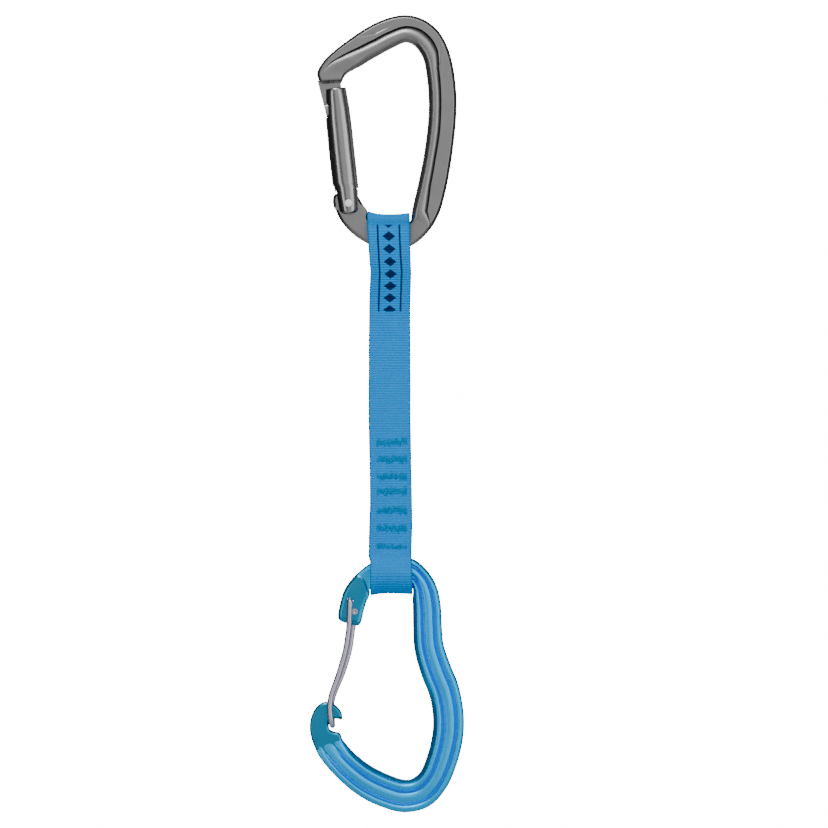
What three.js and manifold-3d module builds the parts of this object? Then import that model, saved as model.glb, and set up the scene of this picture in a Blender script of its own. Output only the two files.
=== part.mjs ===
// Climbing quickdraw: a solid-gate carabiner, a sewn sling and a wire-gate carabiner, hanging straight.
// Millimetres, +Z up. The carabiners lie in the XZ plane with their gates on the -X side.
// The origin is the top inside point of the upper carabiner, where a bolt hanger carries it.
import * as THREE from "three";
import { mergeVertices } from "three/addons/utils/BufferGeometryUtils.js";
import Module from "manifold-3d";

const wasm = await Module();
wasm.setup();

// ---- driving dimensions -------------------------------------------------------------------------
const UPPER_HALF_THICK = 5.2;
const LOWER_HALF_THICK = 5.2;
const RIBS_PER_SPAN = 3;

const RIVET = { x: -24.65, z: -67.7, radius: 1.6, halfLength: 4.9, endRadius: 1.1, endHeight: 0.4 };
const RIVET_HOLE_RADIUS = 1.66;
const TANG = { halfThick: 2.2, holeRadius: 1.95, earPocketRadius: 5.2 };
const EAR_POCKET = { left: -34, right: -12, top: -50, leftFoot: -69.5, rightFoot: -69.0 };
const GATE_SLOT = { halfWidth: 2.5, radius: 7.6, footZ: -76 };
const GATE_AXIS = { x: -27.75, z: -45.2 };
const GATE_LEAN = 0.098;
const KEY = { tip: 37.4, headTop: 42.6, root: 53, neckHalf: 2.0, headHalf: 2.9, from: 6.3, to: 14.4 };
const KEY_GAP = 0.4;
const KEYHOLE = { from: 5.7, to: 24 };
const BORE = { radius: 2.35, depth: 24 };
const PLUNGER = { pinRadius: 1.4, tipRadius: 1.0, tipHeight: 0.9, headRadius: 2.05, headLength: 3 };
const PLUNGER_CLEARANCE = 0.8;
const CAM = { radius: 5.2, risePerRadian: 3.0, riseFrom: -20, mostRise: 0.6, halfSweep: 36 };
const SPRING = { turns: 6, radius: 1.6, wire: 0.32, endGap: 0.3 };
// How far a cutting plate or pin reaches past the metal it cuts.
const CUTTER_HALF = 3;
const CUT_PIN_HALF = 6;

const WEB = { x: -7.35, width: 18, half: 2.4, ply: 2.35 };
const UPPER_BAR_Z = -81.15;
const LOWER_BAR_Z = -222.2;
const UPPER_LOOP_BORE = 6.4;
const LOWER_LOOP_BORE = 6.9;
const LEGS_MEET_Z = -116;
const EYE_END_Z = -112;
const EYE_END_HALF = 0.1;
const BEND_Z = -126;
const TWIST_Z = -150;
const JOINT_GAP = 0.3;
// The lower loop's left edge is tucked in below a height.
const LOWER_LOOP_INSET = 1.2;
const LOWER_LOOP_INSET_TOP_Z = -217.8;
const LOWER_LOOP_SHOULDER = [[2.4, -214.4], [5.2, -216.2], [7.8, -218.6]];
const TACK = { x: -6.5, width: 12.6, height: 4.2, proud: 0.5, slotGap: 0.1 };
const TACK_ROWS = [-167.8, -175.0, -182.1, -188.4, -196.4, -204.0, -211.9];

const WIRE_RADIUS = 1.15;
const HOLE_A = { x: -24.1, z: -234.1 };
const HOLE_B = { x: -22.1, z: -238.9 };
const WIRE_SLOT_RADIUS = 1.5;
const WIRE_OPEN = 32;
const HINGE_PLATE_HALF = 3.4;
const HINGE_POCKET = { left: -36, right: -12, top: -232, bottom: -248 };
const HOOD_HALF = 2.8;
const LEG_Y = 4.35;

// Each rib of a frame: outer x, outer z, inner x, inner z, depth of its channels from 0 (none) to 1.
const UPPER_RIBS = [
  [-36.5, -17.7, -27.8, -17.0, 0], [-38.0, -13.3, -25.9, -13.6, 0], [-35.5, -8.4, -22.5, -11.4, 0],
  [-30.9, -3.8, -19.7, -10.0, 0.7], [-24.1, 1.4, -16.2, -7.8, 1], [-16.6, 6.3, -11.1, -4.9, 1],
  [-9.0, 9.8, -5.7, -2.0, 1], [-0.6, 11.3, -0.6, 0, 1], [6.9, 9.4, 2.9, -1.4, 1],
  [12.8, 4.8, 5.5, -4.7, 1], [16.6, -1.5, 6.9, -7.8, 1], [19.1, -9.9, 7.8, -12.4, 1],
  [20.5, -20.8, 8.7, -20.8, 1], [20.6, -29.2, 8.8, -29.2, 1], [19.9, -38.5, 8.2, -37.2, 1],
  [18.4, -50.2, 6.6, -48.6, 1], [16.2, -62.0, 4.4, -59.5, 1], [13.4, -71.7, 2.2, -70.6, 1],
  [9.0, -79.2, 2.4, -73.8, 0.6], [1.5, -85.5, 1.6, -75.3, 0], [-8.2, -87.2, -7.8, -75.1, 0],
  [-17.0, -84.4, -16.2, -75.3, 0], [-24.0, -79.6, -17.1, -74.0, 0], [-28.2, -74.6, -16.9, -70.9, 0],
  [-30.9, -69.0, -18.6, -68.2, 0],
];
const LOWER_RIBS = [
  [-29.4, -242.2, -19.5, -244.0, 0], [-28.8, -237.1, -17.9, -237.1, 0], [-26.5, -229.8, -16.2, -232.8, 0],
  [-21.2, -223.1, -15.9, -230.3, 0], [-14.1, -218.0, -15.1, -228.7, 0], [-5.7, -215.8, -6.9, -228.6, 0],
  [2.9, -217.3, 1.7, -228.6, 0], [8.8, -222.4, 2.3, -230.4, 1], [12.4, -228.7, 2.1, -233.2, 1],
  [14.1, -236.7, 2.2, -238.8, 1], [14.5, -245.1, 2.3, -245.5, 1], [15.3, -253.1, 2.9, -255.2, 1],
  [18.3, -261.9, 5.9, -266.1, 1], [21.6, -270.3, 9.2, -274.5, 1], [23.6, -281.2, 10.6, -282.9, 1],
  [23.5, -290.9, 10.5, -289.6, 1], [21.0, -302.2, 8.6, -298.5, 1], [16.2, -313.2, 5.2, -306.6, 1],
  [9.2, -320.6, 1.7, -309.4, 1], [-1.1, -323.2, -1.5, -309.7, 1], [-11.5, -320.7, -6.7, -308.1, 1],
  [-21.2, -315.7, -14.7, -304.3, 1], [-30.9, -307.3, -21.2, -299.5, 1], [-37.4, -299.3, -25.4, -295.1, 0.6],
  [-40.3, -292.6, -28.9, -290.6, 0],
];
// Half a cross-section from the inner edge to the outer edge: place across the width, height with
// channels, height without. Heights are fractions of the half-thickness.
const UPPER_SECTION = [
  [0.0, 0.3, 0.3], [0.05, 0.66, 0.62], [0.14, 0.92, 0.78], [0.25, 1.0, 0.88], [0.36, 0.9, 0.88],
  [0.46, 0.62, 0.88], [0.55, 0.62, 0.88], [0.6, 0.86, 0.88], [0.9, 0.82, 0.74], [1.0, 0.45, 0.32],
];
const LOWER_SECTION = [
  [0.0, 0.35, 0.3], [0.05, 0.72, 0.6], [0.14, 1.0, 0.77], [0.24, 0.94, 0.82], [0.32, 0.6, 0.82],
  [0.4, 0.66, 0.82], [0.5, 0.88, 0.82], [0.6, 0.86, 0.82], [0.68, 0.6, 0.82], [0.78, 0.62, 0.82],
  [0.85, 0.84, 0.8], [0.95, 0.7, 0.6], [1.0, 0.35, 0.3],
];

// ---- solids -------------------------------------------------------------------------------------
function toSolid(geometry) {
  let g = geometry.clone();
  for (const name of Object.keys(g.attributes)) {
    if (name !== "position") g.deleteAttribute(name);
  }
  g = mergeVertices(g, 1e-4);
  const mesh = new wasm.Mesh({
    numProp: 3,
    vertProperties: new Float32Array(g.attributes.position.array),
    triVerts: new Uint32Array(g.index.array),
  });
  mesh.merge();
  return new wasm.Manifold(mesh);
}

function toGeometry(solid) {
  const mesh = solid.getMesh();
  const g = new THREE.BufferGeometry();
  g.setAttribute("position", new THREE.BufferAttribute(new Float32Array(mesh.vertProperties), 3));
  g.setIndex(new THREE.BufferAttribute(new Uint32Array(mesh.triVerts), 1));
  return g;
}

const vec = (x, y, z) => new THREE.Vector3(x, y, z);

// A closed skin through rings of equally many points, with a fan over each end.
function loft(rings) {
  const n = rings[0].length;
  const pts = rings.flat();
  const faces = [];
  for (let r = 0; r + 1 < rings.length; r += 1) {
    for (let i = 0; i < n; i += 1) {
      const j = (i + 1) % n;
      const a = r * n;
      const b = a + n;
      faces.push(a + i, b + i, b + j, a + i, b + j, a + j);
    }
  }
  const last = (rings.length - 1) * n;
  for (const [start, flip] of [[0, false], [last, true]]) {
    const centre = vec(0, 0, 0);
    for (let i = 0; i < n; i += 1) centre.addScaledVector(pts[start + i], 1 / n);
    const c = pts.push(centre) - 1;
    for (let i = 0; i < n; i += 1) {
      const j = (i + 1) % n;
      if (flip) faces.push(c, start + j, start + i);
      else faces.push(c, start + i, start + j);
    }
  }
  const g = new THREE.BufferGeometry();
  g.setAttribute("position", new THREE.Float32BufferAttribute(pts.flatMap((p) => [p.x, p.y, p.z]), 3));
  g.setIndex(faces);
  if (signedVolume(g) < 0) {
    for (let i = 0; i < faces.length; i += 3) [faces[i + 1], faces[i + 2]] = [faces[i + 2], faces[i + 1]];
    g.setIndex(faces);
  }
  return g;
}

function signedVolume(g) {
  const p = g.attributes.position;
  const index = g.index.array;
  const [a, b, c] = [vec(0, 0, 0), vec(0, 0, 0), vec(0, 0, 0)];
  let sum = 0;
  for (let i = 0; i < index.length; i += 3) {
    a.fromBufferAttribute(p, index[i]);
    b.fromBufferAttribute(p, index[i + 1]);
    c.fromBufferAttribute(p, index[i + 2]);
    sum += a.dot(b.cross(c));
  }
  return sum;
}

// A plate parallel to the XZ plane, given its outline as [x, z] points.
function plate(points, halfThick, bevel = 0) {
  const shape = new THREE.Shape(points.map(([x, z]) => new THREE.Vector2(x, z)));
  const depth = 2 * (halfThick - bevel);
  const options = { depth, bevelEnabled: bevel > 0, bevelThickness: bevel, bevelSize: bevel * 0.8,
    bevelOffset: -bevel * 0.8, bevelSegments: 2, curveSegments: 8 };
  const g = new THREE.ExtrudeGeometry(shape, options);
  g.rotateX(Math.PI / 2);
  g.translate(0, depth / 2, 0);
  return g;
}

function arcPoints(centre, radius, fromDeg, toDeg, steps) {
  const out = [];
  for (let i = 0; i <= steps; i += 1) {
    const a = THREE.MathUtils.degToRad(fromDeg + ((toDeg - fromDeg) * i) / steps);
    out.push([centre.x + radius * Math.sin(a), centre.z + radius * Math.cos(a)]);
  }
  return out;
}

// A round bar along Y.
function crossPin(at, radius, halfLength, sides = 24) {
  const g = new THREE.CylinderGeometry(radius, radius, 2 * halfLength, sides);
  g.translate(at.x, at.y ?? 0, at.z);
  return g;
}

// ---- carabiner frames ---------------------------------------------------------------------------
function frameRing(rib, section, halfThick) {
  const [ox, oz, ix, iz, relief] = rib;
  const side = section.map(([u, cut, flat]) => [u, halfThick * (flat + (cut - flat) * relief)]);
  const at = (u, y) => vec(ix + (ox - ix) * u, y, iz + (oz - iz) * u);
  const front = side.map(([u, h]) => at(u, -h));
  const back = side.map(([u, h]) => at(u, h)).reverse();
  return [...front, ...back];
}

function smoothRibs(ribs, perSpan) {
  const outer = new THREE.CatmullRomCurve3(ribs.map((r) => vec(r[0], 0, r[1])), false, "centripetal");
  const inner = new THREE.CatmullRomCurve3(ribs.map((r) => vec(r[2], 0, r[3])), false, "centripetal");
  const out = [];
  const count = (ribs.length - 1) * perSpan;
  for (let k = 0; k <= count; k += 1) {
    const o = outer.getPoint(k / count);
    const i = inner.getPoint(k / count);
    const s = Math.min(Math.floor(k / perSpan), ribs.length - 2);
    const f = k / perSpan - s;
    out.push([o.x, o.z, i.x, i.z, ribs[s][4] * (1 - f) + ribs[s + 1][4] * f]);
  }
  return out;
}

function frameBody(ribs, section, halfThick) {
  const rings = smoothRibs(ribs, RIBS_PER_SPAN).map((rib) => frameRing(rib, section, halfThick));
  return toSolid(loft(rings));
}

// A sector swept about the gate rivet. The outline is [distance from the rivet, y]; angles lean to -X.
function keySector(outline, fromDeg, toDeg, steps = 6) {
  const rings = [];
  for (let i = 0; i <= steps; i += 1) {
    const a = THREE.MathUtils.degToRad(fromDeg + ((toDeg - fromDeg) * i) / steps);
    rings.push(outline.map(([r, y]) => vec(RIVET.x - r * Math.sin(a), y, RIVET.z + r * Math.cos(a))));
  }
  return toSolid(loft(rings));
}

// The key seen edge-on: a narrow neck with a rounded head at its free end.
function keyOutline(gap, root) {
  const { tip, headTop, neckHalf, headHalf } = KEY;
  const head = headHalf + gap;
  const corner = 0.9;
  const half = [
    [tip - gap, head - corner], [tip - gap + corner, head], [headTop + gap - corner, head],
    [headTop + gap, neckHalf + gap], [root, neckHalf + gap],
  ];
  const otherHalf = half.map(([r, y]) => [r, -y]).reverse();
  return [...half, ...otherHalf];
}

// The tang's top edge: it rises round the rivet, so the plunger is pushed up as the gate opens.
function camOutline() {
  const points = [];
  const steps = 12;
  for (let i = 0; i <= steps; i += 1) {
    const deg = CAM.halfSweep * ((2 * i) / steps - 1);
    const swept = THREE.MathUtils.degToRad(deg - CAM.riseFrom);
    const radius = CAM.radius + CAM.risePerRadian * Math.max(0, Math.min(swept, CAM.mostRise));
    points.push(arcPoints(RIVET, radius, deg, deg, 1)[0]);
  }
  return points;
}

// Clears the frame beside the tang for one of the gate's ears.
function earPocket(side) {
  const { left, right, top, leftFoot, rightFoot } = EAR_POCKET;
  const round = arcPoints(RIVET, TANG.earPocketRadius, 242, 118, 8);
  const g = plate([[left, top], [left, leftFoot], ...round, [right, rightFoot], [right, top]], CUTTER_HALF);
  g.translate(0, side * (TANG.halfThick + CUTTER_HALF), 0);
  return toSolid(g);
}

function upperFrame() {
  const tang = [[-31.4, -65.6], [-30.5, -63.5], ...camOutline(), [-20.5, -65.2], [-18.6, -68.2],
    [-20.5, -72.5], [-27, -74.5], [-30.9, -69.0]];
  const body = frameBody(UPPER_RIBS, UPPER_SECTION, UPPER_HALF_THICK)
    .subtract(earPocket(1))
    .subtract(earPocket(-1))
    .add(toSolid(plate(tang, TANG.halfThick)))
    .add(keySector(keyOutline(0, KEY.root), KEY.from, KEY.to))
    .subtract(toSolid(crossPin(RIVET, TANG.holeRadius, CUT_PIN_HALF)));
  return toGeometry(body);
}

// ---- upper gate ---------------------------------------------------------------------------------
// Rings up the gate: z, middle x, half-width, half-thickness.
const GATE_RINGS = [
  [-72.1, -24.8, 1.4, 3.4], [-71.7, -24.8, 2.9, 4.2], [-70.3, -24.9, 3.9, 4.5], [-67.5, -25.1, 4.4, 4.6],
  [-63.5, -25.6, 4.7, 4.7], [-60.2, -26.1, 5.1, 4.8], [-58.8, -26.3, 5.3, 4.8], [-45.2, -27.7, 5.4, 4.8],
  [-33.0, -28.9, 5.3, 4.8], [-24.0, -29.8, 5.0, 4.8], [-20.3, -30.1, 4.7, 4.7], [-19.5, -30.2, 4.2, 4.2],
];

function gateRing([z, middle, halfWidth, halfThick]) {
  const out = [];
  const steps = 20;
  const squareness = 0.82;
  const fuller = (v) => Math.sign(v) * Math.abs(v) ** squareness;
  for (let i = 0; i < steps; i += 1) {
    const t = (2 * Math.PI * i) / steps;
    const x = fuller(Math.cos(t)) * halfWidth;
    out.push(vec(middle + x, fuller(Math.sin(t)) * halfThick, z + x * GATE_LEAN));
  }
  return out;
}

// Moves a solid made round the Z axis onto the gate's leaning axis, from a height z upward.
function ontoGateAxis(g, z) {
  g.rotateY(-Math.atan(GATE_LEAN));
  g.translate(GATE_AXIS.x - GATE_LEAN * (z - GATE_AXIS.z), 0, z);
  return g;
}

function lathe(points, sides = 20) {
  const g = new THREE.LatheGeometry(points.map(([r, z]) => new THREE.Vector2(r, z)), sides);
  g.rotateX(Math.PI / 2);
  return g;
}

const SLOT_TOP_Z = RIVET.z + GATE_SLOT.radius;
const BORE_TOP_Z = SLOT_TOP_Z + BORE.depth;

function upperGate() {
  const { radius, halfWidth, footZ } = GATE_SLOT;
  const foot = [[RIVET.x + radius, footZ], [RIVET.x - radius, footZ]];
  const slot = [...arcPoints(RIVET, radius, -90, 90, 18), ...foot];
  const boreLength = BORE.depth + CUTTER_HALF;
  const bore = lathe([[0, 0], [BORE.radius, 0], [BORE.radius, boreLength], [0, boreLength]]);
  const keyhole = keyOutline(KEY_GAP, KEY.root);
  const body = toSolid(loft(GATE_RINGS.map(gateRing)))
    .subtract(toSolid(plate(slot, halfWidth)))
    .subtract(toSolid(ontoGateAxis(bore, SLOT_TOP_Z - CUTTER_HALF)))
    .subtract(keySector(keyhole, KEYHOLE.from, KEYHOLE.to, 8))
    .subtract(toSolid(crossPin(RIVET, RIVET_HOLE_RADIUS, CUT_PIN_HALF)));
  return toGeometry(body);
}

function rivet() {
  const { radius, halfLength, endRadius, endHeight } = RIVET;
  const g = lathe([[0, -halfLength], [endRadius, -halfLength], [radius, -halfLength + endHeight],
    [radius, halfLength - endHeight], [endRadius, halfLength], [0, halfLength]]);
  g.rotateX(Math.PI / 2);
  g.translate(RIVET.x, 0, RIVET.z);
  return g;
}

const PLUNGER_TIP_Z = RIVET.z + CAM.radius + PLUNGER_CLEARANCE;
const PLUNGER_HEAD_Z = -58.9;

function plunger() {
  const { pinRadius, tipRadius, tipHeight, headRadius, headLength } = PLUNGER;
  const pin = PLUNGER_HEAD_Z - PLUNGER_TIP_Z;
  const g = lathe([[0, 0], [tipRadius, tipHeight / 3], [pinRadius, tipHeight], [pinRadius, pin],
    [headRadius, pin], [headRadius, pin + headLength], [0, pin + headLength]]);
  return ontoGateAxis(g, PLUNGER_TIP_Z);
}

class Helix extends THREE.Curve {
  constructor(length) {
    super();
    this.length = length;
  }

  getPoint(t, target = vec(0, 0, 0)) {
    const a = 2 * Math.PI * SPRING.turns * t;
    return target.set(SPRING.radius * Math.cos(a), SPRING.radius * Math.sin(a), this.length * t);
  }
}

function tube(curve, radius, steps, sides) {
  const frames = curve.computeFrenetFrames(steps, false);
  const rings = [];
  for (let k = 0; k <= steps; k += 1) {
    const p = curve.getPointAt(k / steps);
    const ring = [];
    for (let i = 0; i < sides; i += 1) {
      const a = (2 * Math.PI * i) / sides;
      const q = p.clone().addScaledVector(frames.normals[k], radius * Math.cos(a));
      ring.push(q.addScaledVector(frames.binormals[k], radius * Math.sin(a)));
    }
    rings.push(ring);
  }
  return loft(rings);
}

function gateSpring() {
  const low = PLUNGER_HEAD_Z + PLUNGER.headLength + SPRING.wire + SPRING.endGap;
  const high = BORE_TOP_Z - SPRING.wire - SPRING.endGap;
  const g = tube(new Helix(high - low), SPRING.wire, SPRING.turns * 14, 6);
  return ontoGateAxis(g, low);
}

// ---- sling --------------------------------------------------------------------------------------
// Extrudes a [y, z] outline, with holes, across the width of the webbing.
function across(outline, holes, middle, width) {
  const toShape = (pts) => pts.map(([y, z]) => new THREE.Vector2(y, z));
  const shape = new THREE.Shape(toShape(outline));
  holes.forEach((hole) => shape.holes.push(new THREE.Path(toShape(hole))));
  const g = new THREE.ExtrudeGeometry(shape, { depth: width, bevelEnabled: false });
  g.applyMatrix4(new THREE.Matrix4().makeBasis(vec(0, 1, 0), vec(0, 0, 1), vec(1, 0, 0)));
  g.translate(middle - width / 2, 0, 0);
  return g;
}

// [y, z] points over a half turn about the X axis through (0, barZ): over the bar, or under it.
function halfTurn(barZ, radius, over, steps = 16) {
  const points = [];
  for (let i = 0; i <= steps; i += 1) {
    const a = (Math.PI * i) / steps;
    points.push([radius * Math.cos(a), barZ + (over ? 1 : -1) * radius * Math.sin(a)]);
  }
  return points;
}

// A loop over the upper bar, with two legs that run together; foot is the outline's end between them.
function teardrop(radius, meetZ, meetHalf, foot = []) {
  const ease = (f) => f * f * (3 - 2 * f);
  const straightFrom = UPPER_BAR_Z - radius * 0.6;
  const legs = [];
  const steps = 8;
  for (let i = 1; i <= steps; i += 1) {
    const f = i / steps;
    legs.push([radius + (meetHalf - radius) * ease(f), straightFrom + (meetZ - straightFrom) * f]);
  }
  const left = legs.map(([y, z]) => [-y, z]);
  const right = legs.reverse();
  return [...halfTurn(UPPER_BAR_Z, radius, true), ...left, ...foot, ...right];
}

function slingTopLoop() {
  const low = BEND_Z + JOINT_GAP / 2;
  const w = WEB.half;
  const foot = [[-w, low + w], [0, low], [w, low + w]];
  const outer = teardrop(UPPER_LOOP_BORE + WEB.ply, LEGS_MEET_Z, w, foot);
  const inner = teardrop(UPPER_LOOP_BORE, EYE_END_Z, EYE_END_HALF);
  return across(outer, [inner], WEB.x, WEB.width);
}

function slingNeck() {
  const gap = JOINT_GAP / 2;
  const w = WEB.half;
  const outline = [[0, BEND_Z - gap], [-w, BEND_Z - w - gap], [-w, TWIST_Z + gap], [w, TWIST_Z + gap],
    [w, BEND_Z - w - gap]];
  return across(outline, [], WEB.x, WEB.width);
}

function tackBlock(row, grow, proud) {
  const g = new THREE.BoxGeometry(TACK.width + 2 * grow, 2 * (WEB.half + proud), TACK.height + 2 * grow);
  g.translate(TACK.x, 0, row);
  return g;
}

// The box that trims the lower loop's left edge.
function insetBlock() {
  const size = 30;
  const g = new THREE.BoxGeometry(size, size, size);
  const edge = WEB.x - WEB.width / 2 + LOWER_LOOP_INSET;
  g.translate(edge - size / 2, 0, LOWER_LOOP_INSET_TOP_Z - size / 2);
  return g;
}

function slingSewn() {
  const top = TWIST_Z - JOINT_GAP / 2;
  const left = LOWER_LOOP_SHOULDER.map(([y, z]) => [-y, z]);
  const right = LOWER_LOOP_SHOULDER.slice().reverse();
  const under = halfTurn(LOWER_BAR_Z, LOWER_LOOP_BORE + WEB.ply, false).reverse();
  const outline = [[-WEB.half, top], ...left, ...under, ...right, [WEB.half, top]];
  const lowerEye = halfTurn(LOWER_BAR_Z, LOWER_LOOP_BORE, false).slice(1, -1).reverse();
  const eye = [...halfTurn(LOWER_BAR_Z, LOWER_LOOP_BORE, true), ...lowerEye];
  let body = toSolid(across(outline, [eye], WEB.x, WEB.width)).subtract(toSolid(insetBlock()));
  for (const row of TACK_ROWS) body = body.subtract(toSolid(tackBlock(row, TACK.slotGap, CUTTER_HALF)));
  return toGeometry(body);
}

// ---- lower carabiner ----------------------------------------------------------------------------
// Midway between the wire's two holes.
const PIVOT = { x: (HOLE_A.x + HOLE_B.x) / 2, z: (HOLE_A.z + HOLE_B.z) / 2 };

// A short curved slot about the gate's pivot, through the plate, that lets a wire end swing.
function wireSlot(hole) {
  const offset = new THREE.Vector2(hole.x - PIVOT.x, hole.z - PIVOT.z);
  const start = THREE.MathUtils.radToDeg(Math.atan2(offset.x, offset.y));
  const places = arcPoints(PIVOT, offset.length(), start, start - WIRE_OPEN, 4);
  const pins = places.map(([x, z]) => toSolid(crossPin({ x, z }, WIRE_SLOT_RADIUS, CUT_PIN_HALF, 16)));
  return pins.reduce((slot, pin) => slot.add(pin));
}

const NOSE_OUTLINE = [
  [-41.0, -292.5], [-41.1, -286.4], [-40.5, -282.9], [-39.5, -280.4], [-37.2, -277.9], [-33.9, -277.1],
  [-30.4, -278.5], [-27.9, -281.3], [-27.4, -283.2], [-28.0, -284.4], [-30.2, -283.9], [-32.3, -284.6],
  [-33.4, -286.6], [-33.1, -288.5], [-31.4, -289.5], [-28.6, -290.0], [-27.6, -291.3], [-28.0, -294.0],
  [-38.0, -295.0],
];

// Thins one side of the frame's end to the plate that holds the wire gate.
function hingePocket(side) {
  const { left, right, top, bottom } = HINGE_POCKET;
  const g = plate([[left, top], [right, top], [right, bottom], [left, bottom]], CUTTER_HALF);
  g.translate(0, side * (HINGE_PLATE_HALF + CUTTER_HALF), 0);
  return toSolid(g);
}

function lowerFrame() {
  const body = frameBody(LOWER_RIBS, LOWER_SECTION, LOWER_HALF_THICK)
    .subtract(hingePocket(1))
    .subtract(hingePocket(-1))
    .add(toSolid(plate(NOSE_OUTLINE, HOOD_HALF, 0.6)))
    .subtract(wireSlot(HOLE_A))
    .subtract(wireSlot(HOLE_B));
  return toGeometry(body);
}

// One bent wire: in at hole A, down in front of the nose, round below the hood and up behind to hole B.
function lowerWireGate() {
  const front = [[-24.5, -245.1], [-26.0, -255.2], [-28.9, -265.3], [-32.1, -274.9], [-32.5, -280.5]];
  const back = [[-32.2, -280.5], [-31.3, -274.9], [-27.4, -265.3], [-24.4, -255.2], [-22.9, -245.1]];
  const plateY = HINGE_PLATE_HALF + WIRE_RADIUS + 0.25;
  const path = [
    vec(HOLE_A.x, -0.3, HOLE_A.z), vec(HOLE_A.x, -3.2, HOLE_A.z),
    vec(HOLE_A.x - 0.1, -plateY, HOLE_A.z - 1.6),
    ...front.map(([x, z]) => vec(x, -LEG_Y - 0.1, z)),
    vec(-31.8, -LEG_Y + 0.3, -286.0), vec(-31.6, -2.9, -287.6), vec(-31.6, 0, -288.1),
    vec(-31.6, 2.9, -287.6), vec(-31.7, LEG_Y - 0.3, -286.0),
    ...back.map(([x, z]) => vec(x, LEG_Y + 0.1, z)),
    vec(HOLE_B.x - 0.1, plateY, HOLE_B.z - 1.6), vec(HOLE_B.x, 3.2, HOLE_B.z), vec(HOLE_B.x, 0.3, HOLE_B.z),
  ];
  const curve = new THREE.CatmullRomCurve3(path, false, "centripetal");
  return tube(curve, WIRE_RADIUS, 84, 10);
}

// ---- assembly -----------------------------------------------------------------------------------
const GREY_METAL = { color: 0x8b8c8e, roughness: 0.35, metalness: 0.8 };
const BLUE_METAL = { color: 0x3d8fb8, roughness: 0.35, metalness: 0.8 };
const STEEL = { color: 0xc4c4cc, roughness: 0.25, metalness: 1.0 };
const WEBBING = { color: 0x2193d1, roughness: 0.9, metalness: 0.0 };
const THREAD = { color: 0x2a7fa8, roughness: 0.85, metalness: 0.0 };

const group = new THREE.Group();
group.name = "climbing_quickdraw";

function place(name, geometry, look) {
  const mesh = new THREE.Mesh(geometry, new THREE.MeshStandardMaterial(look));
  mesh.name = name;
  group.add(mesh);
}

place("upper_frame", upperFrame(), GREY_METAL);
place("upper_gate", upperGate(), GREY_METAL);
place("upper_gate_rivet", rivet(), STEEL);
place("upper_gate_spring", gateSpring(), STEEL);
place("upper_gate_plunger", plunger(), STEEL);
place("sling_top_loop", slingTopLoop(), WEBBING);
place("sling_neck", slingNeck(), WEBBING);
place("sling_sewn", slingSewn(), WEBBING);
TACK_ROWS.forEach((row, i) => place(`bar_tack_${i + 1}`, tackBlock(row, 0, TACK.proud), THREAD));
place("lower_frame", lowerFrame(), BLUE_METAL);
place("lower_wire_gate", lowerWireGate(), STEEL);

export default group;
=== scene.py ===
"""The climbing quickdraw's looks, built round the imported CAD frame.

Shapes are worked out in millimetres, in the CAD's own frame, and scaled to metres as each mesh is made.
"""

import math
import random

import bmesh
import bpy
import numpy as np
from mathutils import Matrix, Vector

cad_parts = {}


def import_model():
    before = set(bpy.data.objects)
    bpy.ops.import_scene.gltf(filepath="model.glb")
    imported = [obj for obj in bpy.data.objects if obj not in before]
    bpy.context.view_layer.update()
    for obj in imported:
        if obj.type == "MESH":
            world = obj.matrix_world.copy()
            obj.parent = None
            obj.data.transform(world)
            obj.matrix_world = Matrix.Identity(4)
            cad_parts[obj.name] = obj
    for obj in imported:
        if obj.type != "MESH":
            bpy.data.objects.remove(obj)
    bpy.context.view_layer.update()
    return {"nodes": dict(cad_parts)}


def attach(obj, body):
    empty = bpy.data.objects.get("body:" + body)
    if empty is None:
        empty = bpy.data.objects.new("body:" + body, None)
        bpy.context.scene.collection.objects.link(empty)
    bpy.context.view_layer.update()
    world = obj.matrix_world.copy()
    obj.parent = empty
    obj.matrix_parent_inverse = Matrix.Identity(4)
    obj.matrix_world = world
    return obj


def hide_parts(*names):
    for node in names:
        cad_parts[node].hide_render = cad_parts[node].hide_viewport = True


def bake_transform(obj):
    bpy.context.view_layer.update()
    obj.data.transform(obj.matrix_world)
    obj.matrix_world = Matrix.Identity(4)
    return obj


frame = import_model()

MM = 0.001
rng = random.Random(7)

# ---- the object's main dimensions, in millimetres -------------------------------------------------
UPPER_HALF = 5.2
LOWER_HALF = 5.2
RIVET_X, RIVET_Z, RIVET_RADIUS = -24.65, -67.7, 1.6
GATE_LEAN, GATE_MIDDLE_X, GATE_MIDDLE_Z = 0.098, -27.75, -45.2
TANG_HALF = 2.2
# The key's half widths and corner radius, and how far its head's two faces and its root are from the rivet.
KEY_NECK, KEY_HEAD, KEY_ROUND = 2.0, 2.9, 1.1
KEY_NEAR, KEY_FAR, KEY_ROOT = 37.4, 42.6, 53
WEB_PLY = 2.3
WEB_HALF = 2.4
UPPER_BAR_Z, LOWER_BAR_Z = -81.15, -222.2
UPPER_LOOP_BORE, LOWER_LOOP_BORE = 6.4, 6.9
NECK_SEAM_Z = -135.5
WIRE_RADIUS, WIRE_CLEARANCE = 1.22, 0.05
HOLE_A = (-24.1, -234.1)
HOLE_B = (-22.1, -238.9)
HINGE_PLATE_HALF = 3.4
HOOD_HALF = 2.8

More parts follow.
